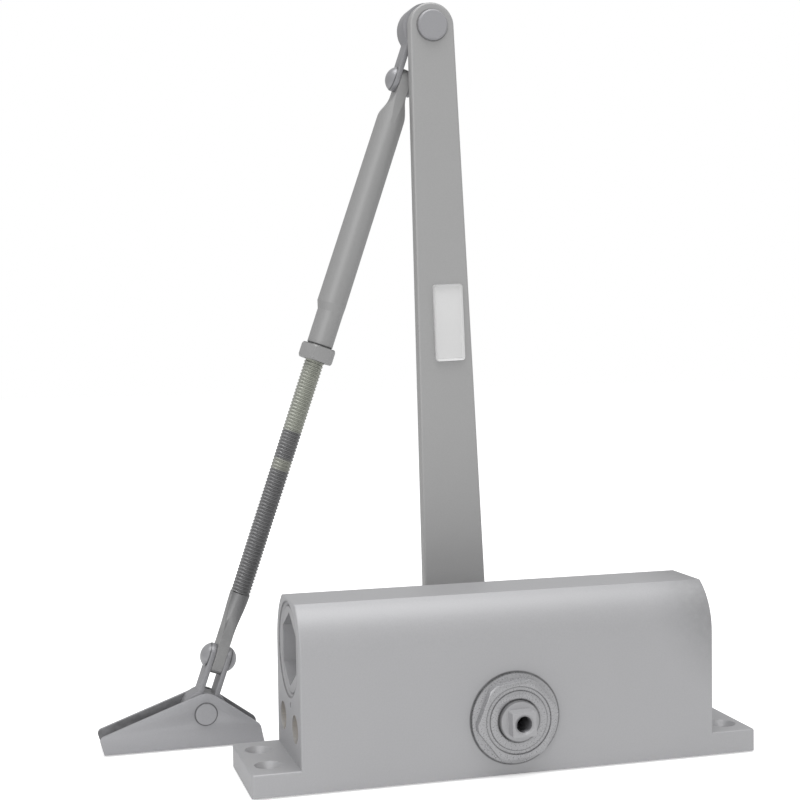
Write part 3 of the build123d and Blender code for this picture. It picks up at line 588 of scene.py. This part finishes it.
paint = {
    # Painted shade: dark rings round the bearing caps and the end plugs, and the body darker
    # towards its upper right end.
    "body": silver_paint("body_paint", colour(179, 179, 181), shade_bands=[
        (SPINDLE_DISTANCE, 15.8, 0.55, 0.2, 0.6),
        (BORE_DISTANCE, 16.1, 0.5, 0.2, 0.5),
        (RIGHT_SHOULDER_DISTANCE, 0.0, 42.0, 0.2, 0.3),
    ]),
    # Painted shade: dark rings at the edge of the collar, in the two grooves and round the shaft's
    # shoulder.
    "cap": silver_paint("cap_paint", CAP_TONE, roughness=0.3, metallic=0.5, shade_bands=[
        (SPINDLE_DISTANCE, 15.6, 0.35, 0.2, 0.5),
        (SPINDLE_DISTANCE, 11.5, 0.3, 0.2, 0.5),
        (SPINDLE_DISTANCE, 10.2, 0.3, 0.2, 0.5),
        (SPINDLE_DISTANCE, 7.2, 0.6, 0.3, 0.65),
    ]),
    # Painted shade: a dark ring at the rim of each end plug.
    "plug": silver_paint("plug_paint", CAP_TONE, roughness=0.4, metallic=0.4, shade_bands=[
        (BORE_DISTANCE, 14.9, 0.5, 0.2, 0.5),
    ]),
    # Painted shade: a dark ring round the head of the elbow rivet.
    "arm": silver_paint("arm_paint", grey(173), shade_bands=[(ELBOW_DISTANCE, 5.75, 0.5, 0.2, 0.45)]),
    # Painted shade: a dark line where the tube meets the lock nut.
    "tube": silver_paint("tube_paint", grey(161), roughness=0.46, shade_bands=[
        (TUBE_DISTANCE, 104.3, 0.45, 0.3, 0.6),
    ]),
    "forging": silver_paint(
        "forging_paint", colour(153, 153, 156), roughness=0.4, metallic=0.4,
    ),
    # Painted shade: the inside of the channel darker, and a dark ring round the head of the pin.
    "shoe": silver_paint("shoe_paint", colour(170, 170, 173), shade_bands=[
        (SHOE_MIDDLE_DISTANCE, 0.0, 5.9, 0.85, 0.5),
        (SHOE_PIN_DISTANCE, 4.05, 0.4, 0.2, 0.55),
    ]),
    "elbow_rivet": silver_paint("elbow_rivet_paint", RIVET_TONE),
    # Painted shade: a dark ring at the base of each dome head.
    "elbow_dome": silver_paint(
        "elbow_dome_paint", RIVET_TONE, roughness=0.34, metallic=0.45,
        shade_bands=[(ELBOW_RIVET_DISTANCE, 3.9, 0.6, 0.3, 0.65)],
    ),
    "shoe_dome": silver_paint(
        "shoe_dome_paint", RIVET_TONE, roughness=0.34, metallic=0.45,
        shade_bands=[(SHOE_RIVET_DISTANCE, 3.9, 0.6, 0.3, 0.65)],
    ),
    # Painted shade: steel darker than the bare steel, for the thread inside the tapped hole.
    "hole": plain_metal("hole_steel_painted_shade", (0.2, 0.2, 0.21), roughness=0.4),
    "steel": plain_metal("machined_steel", BARE_STEEL),
    "shaft": shaft_material("shaft_steel_and_paint"),
    "rod": rod_material("rod_zinc_bands"),
    "label": label_material("label_film"),
    "zinc": plain_metal("zinc_plate", (0.45, 0.46, 0.41)),
    "bronze": plain_metal("bearing_bronze", (0.52, 0.33, 0.16)),
    "brass": plain_metal("valve_brass", (0.62, 0.46, 0.2)),
    "spring": plain_metal("spring_steel", (0.12, 0.12, 0.13)),
    "rubber": rubber_material("seal_rubber"),
}

finish_of_node = {
    "housing": "body",
    "spring_end_plug": "plug",
    "valve_end_plug": "plug",
    "end_plug_seals": "rubber",
    "closing_speed_valve": "brass",
    "latching_speed_valve": "brass",
    "front_bearing_cap": "cap",
    "rear_bearing_cap": "cap",
    "front_bearing": "bronze",
    "rear_bearing": "bronze",
    "shaft_seals": "rubber",
    "pinion_shaft": "shaft",
    "piston": "steel",
    "check_valve_ball": "steel",
    "check_valve_retainer": "steel",
    "closing_spring": "spring",
    "main_arm": "arm",
    "arm_washer": "zinc",
    "arm_screw": "zinc",
    "elbow_rivet": "elbow_rivet",
    "elbow_spacer": "zinc",
    "elbow_knuckle": "forging",
    "elbow_tilt_rivet": "elbow_dome",
    "forearm_tube": "tube",
    "lock_nut": "tube",
    "adjusting_rod": "rod",
    "shoe_tilt_rivet": "shoe_dome",
    "shoe_knuckle": "forging",
    "shoe_bracket": "shoe",
    "shoe_pin": "shoe",
}


def select_only(piece):
    bpy.ops.object.select_all(action="DESELECT")
    piece.select_set(True)
    bpy.context.view_layer.objects.active = piece


@contextmanager
def whole_mesh(piece):
    """Edit mode on a piece, with all of its mesh selected."""
    select_only(piece)
    bpy.ops.object.mode_set(mode="EDIT")
    bpy.ops.mesh.select_all(action="SELECT")
    yield
    bpy.ops.object.mode_set(mode="OBJECT")


def draw_profile(name, points):
    """New piece drawn out from one corner along a profile, point by point."""
    bpy.ops.object.select_all(action="DESELECT")
    bpy.ops.mesh.primitive_plane_add(size=2 * MM)
    piece = bpy.context.object
    piece.name = name
    bpy.ops.object.mode_set(mode="EDIT")
    bpy.ops.mesh.select_mode(type="VERT")
    bpy.ops.mesh.select_all(action="SELECT")
    bpy.ops.mesh.merge(type="CENTER")
    bpy.ops.transform.translate(value=points[0])
    for here, there in zip(points, points[1:]):
        step = Vector(there) - Vector(here)
        bpy.ops.mesh.extrude_vertices_move(TRANSFORM_OT_translate={"value": step})
    bpy.ops.object.mode_set(mode="OBJECT")
    return piece


def cut_flat(piece, point, outward):
    """Slice the piece off beyond a plane and close the cut."""
    with whole_mesh(piece):
        bpy.ops.mesh.bisect(plane_co=point, plane_no=outward, use_fill=True, clear_outer=True)


def apply_modifier(piece, kind, **settings):
    select_only(piece)
    modifier = piece.modifiers.new(kind.lower(), kind)
    for setting, value in settings.items():
        setattr(modifier, setting, value)
    bpy.ops.object.modifier_apply(modifier=modifier.name)


def weld(piece):
    with whole_mesh(piece):
        bpy.ops.mesh.remove_doubles(threshold=WELD_GAP)
        bpy.ops.mesh.normals_make_consistent(inside=False)


def put_in_place(piece, place):
    """Move a piece that was modelled at the origin, so that its place is in its mesh."""
    select_only(piece)
    piece.matrix_world = place
    bpy.ops.object.transform_apply(location=True, rotation=True, scale=True)


def smooth(piece, angle=SMOOTH_ANGLE):
    select_only(piece)
    bpy.ops.object.shade_smooth_by_angle(angle=radians(angle))


def dress(piece, body, finish):
    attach(piece, body)
    piece.data.materials.clear()
    piece.data.materials.append(paint[finish])


def wind(name, profile, pitch, length, steps):
    """Profile wound into a helix round Z, from Z = 0 down to minus the length, with flat ends."""
    piece = draw_profile(name, [(radius, 0.0, pitch * (1.0 - share)) for radius, share in profile])
    weld(piece)
    turns = int(length / pitch) + 2
    apply_modifier(
        piece, "SCREW", axis="Z", angle=2 * pi, screw_offset=-pitch,
        iterations=turns, steps=steps, render_steps=steps,
    )
    weld(piece)
    cut_flat(piece, (0.0, 0.0, 0.0), (0.0, 0.0, 1.0))
    cut_flat(piece, (0.0, 0.0, -length), (0.0, 0.0, -1.0))
    return piece


def copy_of_node(name, title):
    """Merged copy of a CAD node, as an object of its own."""
    piece = bpy.data.objects.new(title, frame["nodes"][name].data.copy())
    scene.collection.objects.link(piece)
    with whole_mesh(piece):
        bpy.ops.mesh.remove_doubles(threshold=WELD_GAP)
    return piece


def make_adjusting_rod():
    """Threaded rod: rolled thread with two flats, and the CAD shank and blade below it."""
    length = THREAD_END - THREAD_START
    thread = wind("adjusting_rod_thread", ROD_PROFILE, ROD_PITCH, length, ROD_STEPS)
    cut_flat(thread, (ROD_FLAT, 0.0, 0.0), (1.0, 0.0, 0.0))
    cut_flat(thread, (-ROD_FLAT, 0.0, 0.0), (-1.0, 0.0, 0.0))
    put_in_place(thread, FOREARM @ Matrix.Translation((THREAD_OFFSET, 0.0, -THREAD_START)))
    shank = copy_of_node("adjusting_rod", "adjusting_rod_shank")
    cut_flat(shank, FOREARM @ Vector((0.0, 0.0, -THREAD_END)), FOREARM_AXIS)
    select_only(thread)
    shank.select_set(True)
    bpy.ops.object.join()
    thread.name = "threaded_rod"
    smooth(thread)
    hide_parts("adjusting_rod")
    dress(thread, "adjusting_rod", "rod")


def make_label():
    """Blank label on the front of the main arm, with rounded corners."""
    bpy.ops.object.select_all(action="DESELECT")
    size = (LABEL_WIDTH, LABEL_THICKNESS, LABEL_HEIGHT)
    bpy.ops.mesh.primitive_cube_add(size=1.0, scale=size)
    label = bpy.context.object
    label.name = "blank_label"
    bpy.ops.object.transform_apply(location=False, rotation=False, scale=True)
    mesh = label.data
    bpy.ops.object.mode_set(mode="EDIT")
    bpy.ops.mesh.select_all(action="DESELECT")
    bpy.ops.object.mode_set(mode="OBJECT")
    for edge in mesh.edges:
        first, second = (mesh.vertices[index].co for index in edge.vertices)
        edge.select = abs(first.y - second.y) > 0.5 * LABEL_THICKNESS
    bpy.ops.object.mode_set(mode="EDIT")
    bpy.ops.mesh.select_mode(type="EDGE")
    bpy.ops.mesh.bevel(offset=LABEL_CORNER, segments=5)
    bpy.ops.object.mode_set(mode="OBJECT")
    seat = (LABEL_ACROSS, BAR_FRONT - 0.5 * LABEL_THICKNESS, LABEL_ALONG)
    put_in_place(label, ARM @ Matrix.Translation(seat))
    smooth(label)
    dress(label, "spindle", "label")


def make_hole_thread():
    """Cut thread that shows inside the tapped hole of the shaft's front end."""
    thread = wind("front_hole_thread", HOLE_PROFILE, HOLE_PITCH, HOLE_THREAD_LENGTH, HOLE_STEPS)
    mouth = Matrix.Translation((0.0, HOLE_MOUTH, SPINDLE_HEIGHT))
    put_in_place(thread, mouth @ Matrix.Rotation(radians(90.0), 4, "X"))
    smooth(thread)
    # The thread takes the darkened steel, as painted shade in the hole.
    dress(thread, "spindle", "hole")


def make_closing_spring():
    """Coil of the closing spring, as a smooth-shaded copy of its own."""
    spring = copy_of_node("closing_spring", "closing_spring_coil")
    smooth(spring, COIL_SMOOTH_ANGLE)
    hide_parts("closing_spring")
    dress(spring, "housing", "spring")
    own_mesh(spring)


def soften(name, width):
    """Copy of a CAD node with its sharp edges a little rounded, which then stands for the node."""
    piece = copy_of_node(name, name + "_softened")
    with whole_mesh(piece):
        bpy.ops.mesh.dissolve_limited(angle_limit=radians(FLAT_ANGLE))
    apply_modifier(
        piece, "BEVEL", width=width * MM, segments=EDGE_SEGMENTS, limit_method="ANGLE",
        angle_limit=radians(SHARP_ANGLE), use_clamp_overlap=True, harden_normals=False,
    )
    smooth(piece)
    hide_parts(name)
    dress(piece, body_of_node[name], finish_of_node[name])


for name, finish in finish_of_node.items():
    node = frame["nodes"][name]
    node.data.materials.clear()
    node.data.materials.append(paint[finish])

record = frame["record"]
bodies = record["behaviour"]["bodies"]
body_of_node = {node: body for body, nodes in bodies.items() for node in nodes}

make_adjusting_rod()
make_label()
make_hole_thread()
make_closing_spring()
for name, width in SOFT_EDGES.items():
    soften(name, width)

set_camera()
set_world()
set_floor()
add_softbox("top_box", (-0.05, -0.2, 1.3), 1.3, 0.9, 9.6)
add_softbox("key_box", (-0.68, -1.28, 0.5), 0.9, 0.9, 3.8)

scene.view_settings.view_transform = "Standard"
